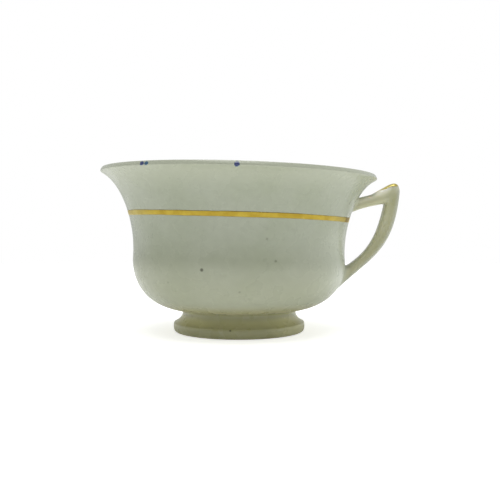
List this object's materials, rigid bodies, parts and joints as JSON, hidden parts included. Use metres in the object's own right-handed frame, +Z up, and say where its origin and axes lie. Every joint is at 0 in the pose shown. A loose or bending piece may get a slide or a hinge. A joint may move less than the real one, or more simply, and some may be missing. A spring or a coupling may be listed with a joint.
{
  "type": "teacup",
  "caption": "Porcelain teacup with a flared bowl, a turned foot ring and a high cornered handle, for holding and drinking a hot drink.",
  "frame": {"origin": "on the surface that the foot stands on, under the middle of the cup and handle together", "axes": "+X towards the handle, +Z up along the axis of the cup, +Y away from the side shown in the picture"},
  "size_m": [0.1134, 0.1043, 0.0619],
  "materials": {
    "glazed_porcelain": "grey-green transparent glaze, gloss",
    "handle_porcelain": "grey-green transparent glaze, gloss",
    "foot_porcelain": "olive-tinted glaze, satin on the base",
    "slip": "glazed over, gloss",
    "gilding": "fired gold, lightly worn",
    "blue_enamel": "fired enamel, gloss"
  },
  "bodies": {
    "root": {"bowl": "glazed_porcelain", "foot_ring": "foot_porcelain", "foot_slip_joint": "slip", "handle": "handle_porcelain", "handle_upper_slip_joint": "slip", "handle_lower_slip_joint": "slip", "gilt_band": "gilding", "handle_gilt_line": "gilding", "blue_rim_dab_1": "blue_enamel", "blue_rim_dab_2": "blue_enamel", "blue_rim_dab_3": "blue_enamel"}
  },
  "joints": []
}
